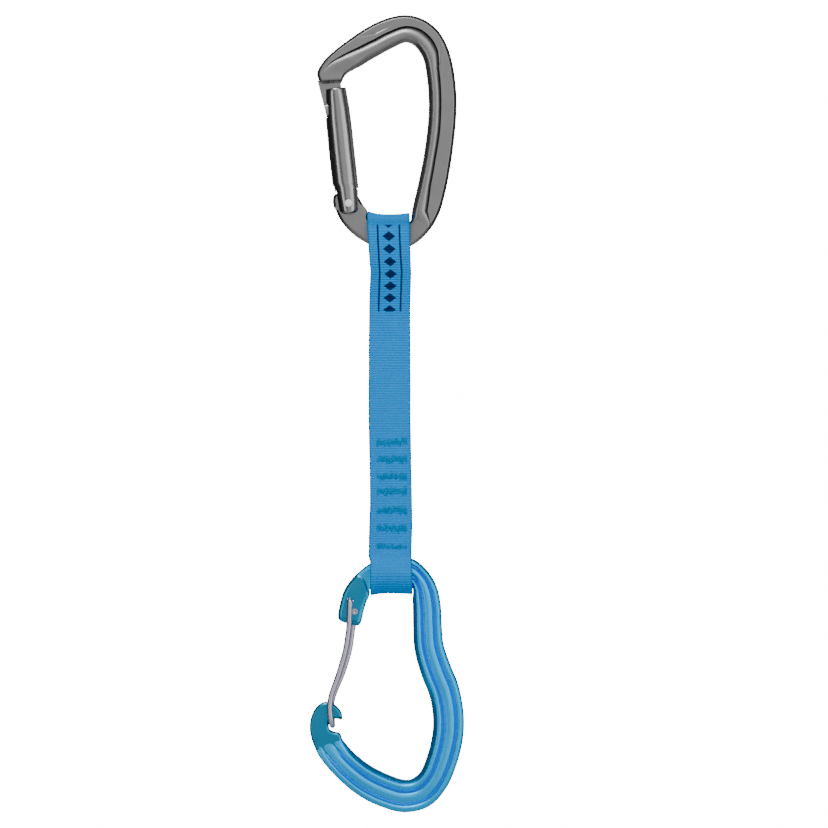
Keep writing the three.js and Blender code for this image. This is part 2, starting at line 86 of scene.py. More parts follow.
# Each bar's line, as outer x, outer z, inner x, inner z at each station.
UPPER_RIBS = np.array([
    [-36.5, -17.7, -27.8, -17.0], [-38.0, -13.3, -25.9, -13.6], [-35.5, -8.4, -22.5, -11.4],
    [-30.9, -3.8, -19.7, -10.0], [-24.1, 1.4, -16.2, -7.8], [-16.6, 6.3, -11.1, -4.9],
    [-9.0, 9.8, -5.7, -2.0], [-0.6, 11.3, -0.6, 0.0], [6.9, 9.4, 2.9, -1.4],
    [12.8, 4.8, 5.5, -4.7], [16.6, -1.5, 6.9, -7.8], [19.1, -9.9, 7.8, -12.4],
    [20.5, -20.8, 8.7, -20.8], [20.6, -29.2, 8.8, -29.2], [19.9, -38.5, 8.2, -37.2],
    [18.4, -50.2, 6.6, -48.6], [16.2, -62.0, 4.4, -59.5], [13.4, -71.7, 1.9, -70.6],
    [9.0, -79.2, 1.5, -73.8], [1.5, -85.5, 1.0, -75.3], [-8.2, -87.2, -7.8, -75.1],
    [-17.0, -84.4, -16.2, -75.3], [-24.0, -79.6, -16.95, -74.1], [-28.2, -74.6, -16.8, -70.9],
    [-30.9, -69.0, -18.6, -68.2],
])
LOWER_RIBS = np.array([
    [-29.4, -242.2, -19.5, -244.0], [-28.8, -237.1, -17.9, -237.1], [-26.5, -229.8, -16.2, -232.8],
    [-21.2, -223.1, -15.9, -230.3], [-14.1, -218.0, -15.1, -228.7], [-5.7, -215.8, -6.9, -228.6],
    [2.9, -217.3, 1.7, -228.6], [8.8, -222.4, 2.3, -230.4], [12.4, -228.7, 2.1, -233.2],
    [14.1, -236.7, 2.2, -238.8], [14.5, -245.1, 2.3, -245.5], [15.3, -253.1, 2.9, -255.2],
    [18.3, -261.9, 5.9, -266.1], [21.6, -270.3, 9.2, -274.5], [23.6, -281.2, 10.6, -282.9],
    [23.5, -290.9, 10.5, -289.6], [21.0, -302.2, 8.6, -298.5], [16.2, -313.2, 5.2, -306.6],
    [9.2, -320.6, 1.7, -309.4], [-1.1, -323.2, -1.5, -309.7], [-11.5, -320.7, -6.7, -308.1],
    [-21.2, -315.7, -14.7, -304.3], [-30.9, -307.3, -21.2, -299.5], [-37.4, -299.3, -25.4, -295.1],
    [-40.3, -292.6, -28.9, -290.6],
])


# ---- small maths ----------------------------------------------------------------------------------
def spline(points, t):
    """A centripetal Catmull-Rom curve through points; t from 0 to 1 is spread evenly over its spans."""
    p = np.asarray(points, float)
    first = 2 * p[0] - p[1]
    last = 2 * p[-1] - p[-2]
    q = np.vstack([first, p, last])
    x = np.clip(np.asarray(t, float), 0, 1) * (len(p) - 1)
    i = np.minimum(x.astype(int), len(p) - 2)
    f = (x - i)[:, None]
    p0, p1, p2, p3 = q[i], q[i + 1], q[i + 2], q[i + 3]
    d0, d1, d2 = (np.sqrt(np.linalg.norm(b - a, axis=1))[:, None] + 1e-9
                  for a, b in ((p0, p1), (p1, p2), (p2, p3)))
    m1 = ((p1 - p0) / d0 - (p2 - p0) / (d0 + d1) + (p2 - p1) / d1) * d1
    m2 = ((p2 - p1) / d1 - (p3 - p1) / (d1 + d2) + (p3 - p2) / d2) * d1
    f2, f3 = f * f, f * f * f
    return (2 * f3 - 3 * f2 + 1) * p1 + (f3 - 2 * f2 + f) * m1 + (3 * f2 - 2 * f3) * p2 + (f3 - f2) * m2


def by_length(points, spacing, smooth=24):
    """A smooth line through points, resampled at about an even spacing."""
    line = spline(points, np.linspace(0, 1, (len(points) - 1) * smooth + 1))
    run = np.concatenate([[0], np.cumsum(np.linalg.norm(np.diff(line, axis=0), axis=1))])
    at = np.linspace(0, run[-1], max(2, int(round(run[-1] / spacing)) + 1))
    return np.stack([np.interp(at, run, line[:, k]) for k in range(line.shape[1])], axis=1), at


# ---- mesh building --------------------------------------------------------------------------------
def new_mesh(name, verts, faces, sharp=40.0):
    """An object made of points in millimetres."""
    mesh = bpy.data.meshes.new(name)
    mesh.from_pydata([tuple(v) for v in np.asarray(verts, float) * MM], [], faces)
    obj = bpy.data.objects.new(name, mesh)
    bpy.context.scene.collection.objects.link(obj)
    tidy(obj, sharp)
    return obj


def tidy(obj, sharp=40.0):
    """Turns faces outward, shades them smooth, and keeps edges hard that turn by over sharp degrees."""
    bm = bmesh.new()
    bm.from_mesh(obj.data)
    if bm.calc_volume(signed=True) < 0:
        bmesh.ops.reverse_faces(bm, faces=bm.faces)
    for f in bm.faces:
        f.smooth = True
    limit = math.radians(sharp)
    for e in bm.edges:
        e.smooth = len(e.link_faces) != 2 or e.calc_face_angle(0) < limit
    bm.to_mesh(obj.data)
    bm.free()


def loft_faces(rings, count):
    """Faces that join rings of count points each, with a cap on both ends."""
    faces = []
    for r in range(rings - 1):
        a, b = r * count, (r + 1) * count
        for i in range(count):
            j = (i + 1) % count
            faces.append((a + i, a + j, b + j, b + i))
    faces.append(tuple(range(count - 1, -1, -1)))
    faces.append(tuple(range((rings - 1) * count, rings * count)))
    return faces


def loft(name, rings, sharp=40.0):
    """A closed solid through rings of points."""
    rings = np.asarray(rings, float)
    return new_mesh(name, rings.reshape(-1, 3), loft_faces(rings.shape[0], rings.shape[1]), sharp)


# How far a corner's mitre may reach: the smaller, the longer it reaches.
MITRE_FLOOR = 0.35


def inward_of(pts):
    """At each point of an anticlockwise outline, the direction into it."""
    ahead, behind = np.roll(pts, -1, axis=0) - pts, pts - np.roll(pts, 1, axis=0)
    ahead /= np.linalg.norm(ahead, axis=1)[:, None]
    behind /= np.linalg.norm(behind, axis=1)[:, None]
    inward = np.stack([-(ahead + behind)[:, 1], (ahead + behind)[:, 0]], axis=1)
    return inward / np.maximum(np.linalg.norm(inward, axis=1)[:, None], MITRE_FLOOR)


def plate(name, outline, half, chamfer=((0.0, 0.0),), y=0.0, sharp=40.0):
    """A flat plate, its rims chamfered; outline is a list of (x, z)."""
    pts = np.array(outline, float)
    area = np.sum(pts[:, 0] * np.roll(pts[:, 1], -1) - np.roll(pts[:, 0], -1) * pts[:, 1])
    if area < 0:
        pts = pts[::-1]
    inward = inward_of(pts)
    layers = [(inset, half - drop) for inset, drop in chamfer]
    steps = [(inset, -h) for inset, h in reversed(layers)] + layers
    rings = [[(p[0] + d[0] * inset, y + h, p[1] + d[1] * inset) for p, d in zip(pts, inward)]
             for inset, h in steps]
    return loft(name, rings, sharp)


# A turned solid's poles keep a hair of radius, so that its caps stay proper faces.
POLE = 0.01


def lathe(name, profile, sides=40, sharp=40.0):
    """Turned about Z; profile is (radius, z) from one pole to the other."""
    turns = [2 * math.pi * k / sides for k in range(sides)]
    rings = [[(r * math.cos(a), r * math.sin(a), z) for a in turns] for r, z in profile]
    return loft(name, rings, sharp)


def sweep(path, radius, sides):
    """Rings of a round tube along a line of points, without twist."""
    path = np.asarray(path, float)
    tangents = np.gradient(path, axis=0)
    tangents /= np.linalg.norm(tangents, axis=1)[:, None]
    normal = Vector(tangents[0]).orthogonal().normalized()
    turns = [2 * math.pi * k / sides for k in range(sides)]
    rings = []
    for p, t in zip(path, tangents):
        t = Vector(t)
        normal = (normal - t * normal.dot(t)).normalized()
        side = t.cross(normal)
        ring = [Vector(p) + (normal * math.cos(a) + side * math.sin(a)) * radius for a in turns]
        rings.append([tuple(v) for v in ring])
    return rings


def cut(obj, *cutters):
    """Takes the cutters out of a solid."""
    for cutter in cutters:
        modifier = obj.modifiers.new("cut", "BOOLEAN")
        modifier.operation = "DIFFERENCE"
        modifier.solver = "EXACT"
        modifier.object = cutter
        graph = bpy.context.evaluated_depsgraph_get()
        made = bpy.data.meshes.new_from_object(obj.evaluated_get(graph))
        obj.modifiers.clear()
        old = obj.data
        obj.data = made
        bpy.data.meshes.remove(old)
        bpy.data.objects.remove(cutter)
    obj.data.name = obj.name
    tidy(obj)


def arc(x, z, radius, start, end, steps):
    """(x, z) points about a centre; angles in degrees clockwise from straight up."""
    turn = [math.radians(start + (end - start) * k / steps) for k in range(steps + 1)]
    return [(x + radius * math.sin(a), z + radius * math.cos(a)) for a in turn]


def weighted(obj):
    """Shades the large flats true where they meet small rounded edges."""
    obj.modifiers.new("flats", "WEIGHTED_NORMAL").keep_sharp = True


# ---- materials ------------------------------------------------------------------------------------
def shader(name, **values):
    """A new material with the named values set on its own shader."""
    mat = bpy.data.materials.new(name)
    mat.use_nodes = True
    nodes = mat.node_tree.nodes
    bsdf = nodes["Principled BSDF"]
    for key, value in values.items():
        bsdf.inputs[key.replace("_", " ")].default_value = value
    return mat, mat.node_tree, bsdf


def node(tree, kind, inputs=None, **settings):
    """A new shader node; an input that is another node's socket is linked, and any other is set."""
    n = tree.nodes.new(kind)
    for key, value in settings.items():
        setattr(n, key, value)
    for key, value in (inputs or {}).items():
        if isinstance(value, bpy.types.NodeSocket):
            tree.links.new(value, n.inputs[key])
        else:
            n.inputs[key].default_value = value
    return n


def noise(tree, scale, detail=3.0, roughness=0.55, coords=None):
    if coords is None:
        coords = node(tree, "ShaderNodeTexCoord").outputs["Object"]
    n = node(tree, "ShaderNodeTexNoise", {"Scale": scale, "Detail": detail, "Roughness": roughness,
                                          "Vector": coords})
    return n.outputs["Fac"]


def spread(tree, value, lo, hi, to_lo, to_hi):
    """Maps lo..hi to to_lo..to_hi, held at both ends."""
    return node(tree, "ShaderNodeMapRange", {"Value": value, "From Min": lo, "From Max": hi,
                                             "To Min": to_lo, "To Max": to_hi}).outputs["Result"]


def blend_colour(tree, factor, a, b):
    n = node(tree, "ShaderNodeMix", data_type="RGBA")
    for socket, value in ((n.inputs[0], factor), (n.inputs[6], a), (n.inputs[7], b)):
        if isinstance(value, bpy.types.NodeSocket):
            tree.links.new(value, socket)
        else:
            socket.default_value = value
    return n.outputs[2]


def calc(tree, operation, a, b=0.0):
    return node(tree, "ShaderNodeMath", {0: a, 1: b}, operation=operation).outputs[0]


def times(tree, first, *others):
    for other in others:
        first = calc(tree, "MULTIPLY", first, other)
    return first


def plus(tree, first, *others):
    for other in others:
        first = calc(tree, "ADD", first, other)
    return first


def distance(tree, value, centre):
    return calc(tree, "ABSOLUTE", calc(tree, "SUBTRACT", value, centre))


def bump(tree, height, strength, distance_m):
    return node(tree, "ShaderNodeBump", {"Height": height, "Strength": strength,
                                         "Distance": distance_m}).outputs["Normal"]


def anodised(name, deep, bright, rough):
    """Satin anodised aluminium: cloudy dye, smears in the polish and a fine tumbled grain."""
    mat, tree, bsdf = shader(name, Metallic=1.0)
    cloud = noise(tree, 90.0, 4.0)
    colour = blend_colour(tree, spread(tree, cloud, 0.3, 0.7, 0.0, 1.0), deep, bright)
    tree.links.new(colour, bsdf.inputs["Base Color"])
    smear = noise(tree, 240.0, 5.0, 0.6)
    tree.links.new(spread(tree, smear, 0.3, 0.7, rough - 0.03, rough + 0.03), bsdf.inputs["Roughness"])
    grain = noise(tree, 1400.0, 2.0)
    tree.links.new(bump(tree, grain, 0.05, 0.00002), bsdf.inputs["Normal"])
    return mat


GREY = anodised("grey_anodised", (0.265, 0.265, 0.267, 1), (0.29, 0.29, 0.29, 1), 0.34)
GATE_GREY = anodised("grey_anodised_gate", (0.31, 0.31, 0.31, 1), (0.34, 0.34, 0.34, 1), 0.22)
BLUE = anodised("blue_anodised", (0.0, 0.45, 0.97, 1), (0.0, 0.49, 1.0, 1), 0.4)
# A darker copy of the blue anodising for the hinge flat and the nose plate: painted shade on their flat
# faces.
BLUE_PAINTED_SHADE = anodised("blue_anodised_painted_shade", (0.01, 0.25, 0.46, 1), (0.02, 0.29, 0.51, 1), 0.34)


def steel(name, colour, rough, metallic=1.0):
    """Drawn stainless steel with faint lengthwise scratches."""
    mat, tree, bsdf = shader(name, Metallic=metallic, Base_Color=colour)
    place = node(tree, "ShaderNodeTexCoord").outputs["Object"]
    drawn = node(tree, "ShaderNodeMapping", {"Vector": place, "Scale": (9.0, 9.0, 1.0)}).outputs[0]
    lines = noise(tree, 420.0, 3.0, 0.6, drawn)
    tree.links.new(spread(tree, lines, 0.3, 0.7, rough - 0.04, rough + 0.06), bsdf.inputs["Roughness"])
    tree.links.new(bump(tree, lines, 0.04, 0.00002), bsdf.inputs["Normal"])
    return mat


WIRE_STEEL = steel("wire_steel", (0.56, 0.54, 0.64, 1), 0.34)
PIN_STEEL = steel("pin_steel", (0.82, 0.82, 0.84, 1), 0.16)
# The rivet's peened heads are drawn as a bright white matt surface, a painted highlight that stands in for
# the glint off their steel.
RIVET_PAINTED_HIGHLIGHT = steel("rivet_steel", (0.97, 0.97, 0.97, 1), 0.5, metallic=0.0)

# The weave and the print, in millimetres across and along the strip.
RIB_PITCH, WARP_PITCH = 1.05, 0.52
SELVEDGE_FROM, SELVEDGE_TO = 7.9, 8.9
FOLD_AT, FOLD_WIDTH = 7.4, 3.0
PRINT_FROM, PRINT_TO = 8.5, 45.0
RULE_AT, RULE_HALF = 4.6, 0.35
RHOMB_PITCH, RHOMB_HALF, RHOMB_SLOPE = 5.2, 2.7, 1.35

DYE_DEEP, DYE_BRIGHT = (0.0, 0.3, 0.9, 1), (0.0, 0.33, 0.95, 1)
# The first of these is painted shade down in the weave's valleys; the second is the fuzz's own tone.
WEAVE_VALLEY_SHADE, DYE_FUZZ = (0.0, 0.22, 0.58, 1), (0.0, 0.3, 0.86, 1)
# The first of these darkens the strip towards each edge.
# The second of these is painted shade where the upper loop turns over its crown.
EDGE_DARKENING, FOLD_PAINTED_SHADE = (0.0, 0.15, 0.42, 1), (0.0, 0.14, 0.36, 1)
INK = (0.004, 0.018, 0.085, 1)


def wave(tree, value, pitch):
    return calc(tree, "SINE", calc(tree, "MULTIPLY", value, 2 * math.pi / pitch))


def weave(tree, across, along):
    """How high the threads stand: weft ribs across, with warp lines that change sides at each rib."""
    warp = wave(tree, across, WARP_PITCH)
    weft = wave(tree, along, RIB_PITCH)
    return plus(tree, times(tree, weft, 0.5), times(tree, warp, weft, 0.6), times(tree, warp, 0.3))


def fold_shade(tree, along):
    """Painted shade: darkens the upper loop where it turns away over its crown."""
    off = distance(tree, calc(tree, "ABSOLUTE", along), FOLD_AT)
    crown = node(tree, "ShaderNodeAttribute", attribute_name="crown").outputs["Fac"]
    return times(tree, spread(tree, off, 0.0, FOLD_WIDTH, 0.5, 0.0), crown)


def print_ink(tree, across, along, face, fuzz):
    """A column of small rhombs between two rules, on the outer front face only."""
    started = calc(tree, "GREATER_THAN", along, PRINT_FROM)
    unfinished = calc(tree, "LESS_THAN", along, PRINT_TO)
    from_middle = calc(tree, "ABSOLUTE", across)
    rule = calc(tree, "LESS_THAN", distance(tree, from_middle, RULE_AT), RULE_HALF)
    cell = distance(tree, calc(tree, "MODULO", along, RHOMB_PITCH), RHOMB_PITCH / 2)
    reach = plus(tree, from_middle, times(tree, cell, RHOMB_SLOPE))
    rhomb = calc(tree, "LESS_THAN", reach, RHOMB_HALF)
    mark = calc(tree, "MAXIMUM", rule, rhomb)
    worn = spread(tree, fuzz, 0.25, 0.45, 0.6, 1.0)
    return times(tree, mark, times(tree, started, unfinished), face, worn)


def webbing():
    """Flat woven nylon, its threads and print following the strip's own lay."""
    mat, tree, bsdf = shader("blue_webbing", Roughness=0.9, Specular_IOR_Level=0.0)
    lay = node(tree, "ShaderNodeAttribute", attribute_name="lay").outputs["Vector"]
    split = node(tree, "ShaderNodeSeparateXYZ", {0: lay})
    across, along, face = split.outputs[0], split.outputs[1], split.outputs[2]
    thread = weave(tree, across, along)
    fuzz = noise(tree, 3.2, 4.0, 0.6, lay)
    patch = noise(tree, 0.16, 3.0, 0.5, lay)
    colour = blend_colour(tree, spread(tree, patch, 0.3, 0.7, 0.0, 1.0), DYE_DEEP, DYE_BRIGHT)
    # Painted shade: darker down in the weave's valleys between the threads.
    colour = blend_colour(tree, spread(tree, thread, -1.0, 0.6, 0.8, 0.0), colour, WEAVE_VALLEY_SHADE)
    colour = blend_colour(tree, spread(tree, fuzz, 0.45, 0.8, 0.0, 0.25), colour, DYE_FUZZ)
    # Darker towards each edge of the strip.
    selvedge = spread(tree, calc(tree, "ABSOLUTE", across), SELVEDGE_FROM, SELVEDGE_TO, 0.0, 0.45)
    colour = blend_colour(tree, selvedge, colour, EDGE_DARKENING)
    # Painted shade over the upper loop's crown.
    colour = blend_colour(tree, fold_shade(tree, along), colour, FOLD_PAINTED_SHADE)
    colour = blend_colour(tree, print_ink(tree, across, along, face, fuzz), colour, INK)
    tree.links.new(colour, bsdf.inputs["Base Color"])
    height = plus(tree, thread, times(tree, fuzz, 0.8))
    tree.links.new(bump(tree, height, 0.8, 0.00016), bsdf.inputs["Normal"])
    return mat


def thread_material():
    """Matt sewing thread, a little uneven in its dye."""
    mat, tree, bsdf = shader("stitch_thread", Roughness=0.8, Specular_IOR_Level=0.15)
    fuzz = noise(tree, 1500.0, 3.0)
    colour = blend_colour(tree, spread(tree, fuzz, 0.3, 0.7, 0.0, 1.0),
                          (0.0, 0.2, 0.42, 1), (0.0, 0.3, 0.68, 1))
    tree.links.new(colour, bsdf.inputs["Base Color"])
    tree.links.new(bump(tree, fuzz, 0.4, 0.00006), bsdf.inputs["Normal"])
    return mat


WEBBING = webbing()
THREAD = thread_material()


def dress(obj, material, body=None, nodes=()):
    """Gives a piece its material and the body it rides on, and hides the CAD nodes it stands for."""
    obj.data.materials.clear()
    obj.data.materials.append(material)
    if body:
        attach(obj, body)
    if nodes:
        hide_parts(*nodes)


# ---- carabiner bars -------------------------------------------------------------------------------
def hump(u, centre, width):
    """A smooth rise of one, centred on a share of the bar's width."""
    return np.exp(-(((u - centre) / width) ** 2))


# Chamfered edges: distance in from the edge, and how far the face has dropped there.
STEEP_CHAMFER = [(0.0, 1.9), (0.8, 0.6), (1.05, 0.2), (1.2, 0.06), (1.4, 0.0)]
THIN_CHAMFER = [(0.0, 0.9), (0.2, 0.5), (0.35, 0.32), (0.8, 0.12), (1.1, 0.0)]
SOFT_CHAMFER = [(0.0, 1.3), (0.3, 0.75), (0.5, 0.5), (1.3, 0.16), (1.7, 0.05), (2.0, 0.0)]
# A bar's plain face, as a share of its greatest half thickness.
UPPER_FACE, LOWER_FACE = 0.85, 0.82
# A crease's width, as a share of the bar's.
CREASE_WIDTH = 0.014


def rim(u, width, inner_radius, inner_floor, chamfer):
    """How the height falls away: rounded at the bar's inner edge, a chamfer at its outer edge.

    The chamfer's drops are taken against the upper bar's face on both carabiners.
    """
    a = np.clip(1 - u / inner_radius, 0, 1)
    inner = inner_floor + (1 - inner_floor) * np.sqrt(1 - a * a)
    inset, drop = zip(*chamfer)
    return inner * (1 - np.interp((1 - u) * width, inset, drop) / (UPPER_FACE * UPPER_HALF))


def bead(u, crest, groove, floor, flange):
    """A round bead falling from its crest into a sharp groove, with a flat flange beyond."""
    t = np.clip((u - crest) / (groove - crest), 0, 1)
    down = floor + (1 - floor) * np.sqrt(1 - t * t)
    return np.where(u > groove + 1e-6, flange, down)


def along(stations, values, s):
    """A value that runs from station to station along the bar."""
    return np.interp(s, stations, values)


def eased(count):
    """Numbers from 0 to 1, closer together at both ends."""
    return 0.5 - 0.5 * np.cos(np.linspace(0, math.pi, count))


def bar(name, ribs, heights, half, first=0.0, per_span=9, before=44, after=42):
    """A forged bar through its ribs, the same on both faces.

    heights(u, s, width) is the share of the half thickness across the bar at station s, with a crease
    at edge(s) that every ring has a point on.
    """
    last = len(ribs) - 1
    stations = np.linspace(first, last, int((last - first) * per_span) + 1)
    t = stations / last
    outer, inner = spline(ribs[:, :2], t), spline(ribs[:, 2:], t)
    rings = []
    for s, o, i in zip(stations, outer, inner):
        crease = heights.edge(s)
        past = crease + CREASE_WIDTH
        u = np.concatenate([crease * eased(before), past + (1 - past) * eased(after)])
        h = half * heights(u, s, math.dist(o, i))
        x = i[0] + (o[0] - i[0]) * u
        z = i[1] + (o[1] - i[1]) * u
        front = np.stack([x, -h, z], axis=1)
        back = np.stack([x, h, z], axis=1)[::-1]
        rings.append(np.concatenate([front, back]))
    return loft(name, rings)


class UpperHeights:
    """A channel and a bead on the inner side, a raised panel along the spine, a lens cut at the bow."""

    def edge(self, s):
        """Where the channel's crease runs, as a share of the width from the inner edge."""
        stations = [0, 2, 3, 4, 5, 6, 7, 8, 9, 10, 10.3, 11, 12, 13, 14, 15, 16, 17, 17.5, 17.8, 25]
        creases = [.8, .76, .68, .57, .51, .52, .56, .6, .62, .6, .56, .47, .445, .44, .455, .43, .445,
                   .55, .75, .97, .97]
        return float(along(stations, creases, s))

    def __call__(self, u, s, width_mm):
        channel = along([0, 1.2, 3.0, 4.5, 17.0, 17.8, 25], [0, 0, 0.7, 1, 1, 0, 0], s)
        edge = self.edge(s)
        crest = along([0, 3, 5, 7, 10, 11, 25], [.42, .36, .26, .28, .28, .24, .24], s)
        floor = along([0, 9, 10.5, 25], [.5, .48, .55, .55], s)
        flange = along([0, 9.8, 10.6, 25], [UPPER_FACE, UPPER_FACE, 0.87, 0.87], s)
        h = UPPER_FACE + (bead(u, crest, edge, floor, flange) - UPPER_FACE) * channel
        lens = along([0, 4.25, 4.5, 5.2, 5.9, 6.4, 6.7, 25],
                     [1.2, 1.0, .83, .66, .68, .845, 1.0, 1.2], s)
        h = h - 0.035 * hump(u, lens, 0.014)
        panel_top = along([9.5, 9.7, 9.9, 10.3, 10.9, 11.2], [1.2, 0.95, 0.75, 0.62, 0.5, 0.3], s)
        h = h - 0.04 * hump(u, panel_top, 0.016) * (9.5 < s < 11.2)
        inner_radius = along([0, 1.5, 4, 18, 20, 25], [.1, .14, .3, .26, .06, .06], s)
        ease = along([0, 0.1, 0.32, 0.42, 17.5, 19, 22.5, 25],
                     [0.52, 0.62, 0.97, 1, 1, 0.93, 0.74, 0.7], s)
        return h * ease * rim(u, width_mm, inner_radius, 0.3, STEEP_CHAMFER)


class LowerHeights:
    """Two channels leave an inner bead, a middle ridge and an outer ridge."""

    def edge(self, s):
        """There is no sharp crease here, so the ring's points only divide at the middle."""
        return 0.5

    def __call__(self, u, s, width_mm):
        channel = along([0, 5, 6.4, 22.3, 23.6, 25], [0, 0, 1, 1, 0, 0], s)
        h = LOWER_FACE * np.ones_like(u)
        h = h + 0.16 * channel * hump(u, 0.19, 0.12)
        h = h - 0.25 * channel * hump(u, 0.345, 0.045)
        h = h + 0.07 * channel * hump(u, 0.53, 0.1)
        h = h - 0.25 * channel * hump(u, 0.735, 0.042)
        h = h + 0.05 * channel * hump(u, 0.88, 0.07)
        inner_radius = along([0, 4, 6.5, 22.5, 24, 25], [.06, .06, .17, .17, .06, .06], s)
        ease = along([0, 3.0, 3.6, 4.6, 21.5, 23.4, 24], [.7, .72, .8, 1, 1, .66, .62], s)
        return h * ease * rim(u, width_mm, inner_radius, 0.4, SOFT_CHAMFER)


def sector(name, outline, start, end, steps=24):
    """An outline of (distance, y) swept about the gate rivet; angles in degrees towards -X from up."""
    rings = []
    for k in range(steps + 1):
        a = math.radians(start + (end - start) * k / steps)
        rings.append([(RIVET_X - r * math.sin(a), y, RIVET_Z + r * math.cos(a)) for r, y in outline])
    return loft(name, rings)


def key_outline(gap, root):
    """Half a T on each side, as (distance from the rivet, y); gap is added all round."""
    head, neck = KEY_HEAD + gap, KEY_NECK + gap
    near, far = KEY_NEAR - gap, KEY_FAR + gap
    corner = []
    for k in range(6):
        a = math.pi / 2 * k / 5
        corner.append((near + KEY_ROUND * (1 - math.sin(a)), head - KEY_ROUND * (1 - math.cos(a))))
    half = corner[::-1] + [(far - 0.9, head), (far - 0.3, head - 0.25), (far, neck + 0.3),
                           (far + 0.3, neck), (root, neck)]
    return half + [(r, -y) for r, y in reversed(half)]


# Half lengths of the cutters: the slabs beside the tang, and the drills for the rivet and the wire.
CUTTER, RIVET_DRILL, WIRE_DRILL = 3.0, 6, 8
# The cam rises by CAM_RISE for each radian, from CAM_LEAD degrees before upright, over CAM_SPAN radians.
CAM_RADIUS, CAM_RISE, CAM_LEAD, CAM_SPAN = 5.2, 3, 20, 0.6
POCKET_RADIUS, TANG_HOLE = 5.0, 1.9
# How far round the rivet each piece reaches, in degrees from up towards the gate's outside.
KEY_SPAN, KEYHOLE_SPAN, SHOULDER_SPAN = (6.3, 14.4), (5.7, 24.0), (3.7, 14.2)
SHOULDER_NEAR, SHOULDER_HALF = 48.95, 2.2
KEY_CLEARANCE = 0.4


def cam_line():
    """The tang's top: round about the rivet, then rising to push the plunger up as the gate turns."""
    line = []
    for degrees in range(-34, 37, 4):
        a = math.radians(degrees)
        r = CAM_RADIUS + CAM_RISE * min(max(math.radians(degrees + CAM_LEAD), 0), CAM_SPAN)
        line.append((RIVET_X + r * math.sin(a), RIVET_Z + r * math.cos(a)))
    return line


def upper_body():
    """The grey bar, thinned on both faces where the gate's cheeks turn."""
    body = bar("upper_frame_body", UPPER_RIBS, UpperHeights(), UPPER_HALF)
    pocket = [(-36, -50), (-36, -66.5), (-31.6, -70.4)]
    pocket += arc(RIVET_X, RIVET_Z, POCKET_RADIUS, 236, 124, 20)
    pocket += [(-17.2, -69.2), (-12, -66), (-12, -50)]
    beside = TANG_HALF - 0.12 + CUTTER
    cut(body, plate("pocket_a", pocket, CUTTER, y=beside), plate("pocket_b", pocket, CUTTER, y=-beside))
    weighted(body)
    dress(body, GREY, "upper_carabiner", ("upper_frame",))


def upper_tang():
    """The plate between the gate's cheeks, with the rivet's hole."""
    outline = [(-31.0, -69.2), (-31.45, -67.0), (-31.3, -65.2), (-30.8, -64.0), (-30.1, -63.5),
               (-29.3, -63.6)]
    outline += cam_line()
    outline += [(-20.7, -64.6), (-20.2, -65.4), (-18.7, -68.0), (-18.2, -71.5), (-21.0, -74.0),
                (-27.0, -74.6)]
    tang = plate("upper_frame_tang", outline, TANG_HALF, STEEP_CHAMFER)
    cut(tang, plate("hole", arc(RIVET_X, RIVET_Z, TANG_HOLE, 0, 352, 44), RIVET_DRILL))
    weighted(tang)
    dress(tang, GREY, "upper_carabiner")


def upper_frame():
    """The grey body: bar, tang, and the key that the gate shuts over, on its shoulder."""
    upper_body()
    upper_tang()
    key = sector("upper_frame_key", key_outline(0, KEY_ROOT), *KEY_SPAN)
    dress(key, GREY, "upper_carabiner")
    block = [(SHOULDER_NEAR, SHOULDER_HALF), (KEY_ROOT, SHOULDER_HALF)]
    block += [(r, -y) for r, y in reversed(block)]
    shoulder = sector("upper_frame_shoulder", block, *SHOULDER_SPAN)
    dress(shoulder, GREY, "upper_carabiner")


# ---- solid gate -----------------------------------------------------------------------------------
# Each section's middle x, z, half width and half thickness, from the foot up.
GATE_RINGS = np.array([
    [-24.5, -71.95, 1.2, 3.6], [-24.5, -71.9, 2.2, 4.0], [-24.5, -71.7, 3.2, 4.4],
    [-24.52, -71.3, 3.9, 4.6], [-24.6, -70.6, 4.35, 4.7], [-24.7, -69.4, 4.6, 4.75],
    [-24.9, -67.4, 4.75, 4.8], [-25.35, -63.7, 4.95, 4.8], [-25.6, -61.2, 5.1, 4.8],
    [-25.85, -60.0, 5.2, 4.8], [-26.1, -59.3, 5.35, 4.8], [-26.6, -55.0, 5.42, 4.8],
    [-27.7, -45.2, 5.42, 4.8], [-28.4, -38.0, 5.38, 4.8], [-29.0, -32.5, 5.3, 4.8],
    [-29.4, -28.0, 5.1, 4.8], [-29.85, -24.0, 4.85, 4.8], [-30.15, -21.0, 4.62, 4.78],
    [-30.2, -20.0, 4.55, 4.7], [-30.22, -19.55, 4.4, 4.5], [-30.22, -19.4, 4.1, 4.2],
])
# A ledge runs down the gate's inner flank, with a flat facet beyond it.
LEDGE, LEDGE_HEIGHT, FACET_SLOPE = 0.71, 0.645, 0.75
# The section is a shade squarer than an ellipse, and its inner edge is bluntly rounded.
SQUARENESS, BLUNTNESS = 0.96, 1.35
SLOT_RADIUS, SLOT_HALF, SLOT_END = 7.6, 2.5, -78
BORE_RADIUS, BORE_LENGTH, BORE_FOOT = 2.35, 27, -63.1
RIVET_CLEARANCE = 0.04


def gate_ring(x, z, a, b, sides=144):
    """One section of the gate, tilted with its lean."""
    ring = []
    for k in range(sides):
        t = 2 * math.pi * k / sides
        across, s = math.cos(t), math.sin(t)
        high = math.copysign(abs(s) ** SQUARENESS, s)
        if across > LEDGE:
            facet = LEDGE_HEIGHT - FACET_SLOPE * (across - LEDGE)
            high = math.copysign(min(facet, BLUNTNESS * abs(s)), s)
        ring.append((x + across * a, high * b, z + across * a * GATE_LEAN))
    return ring


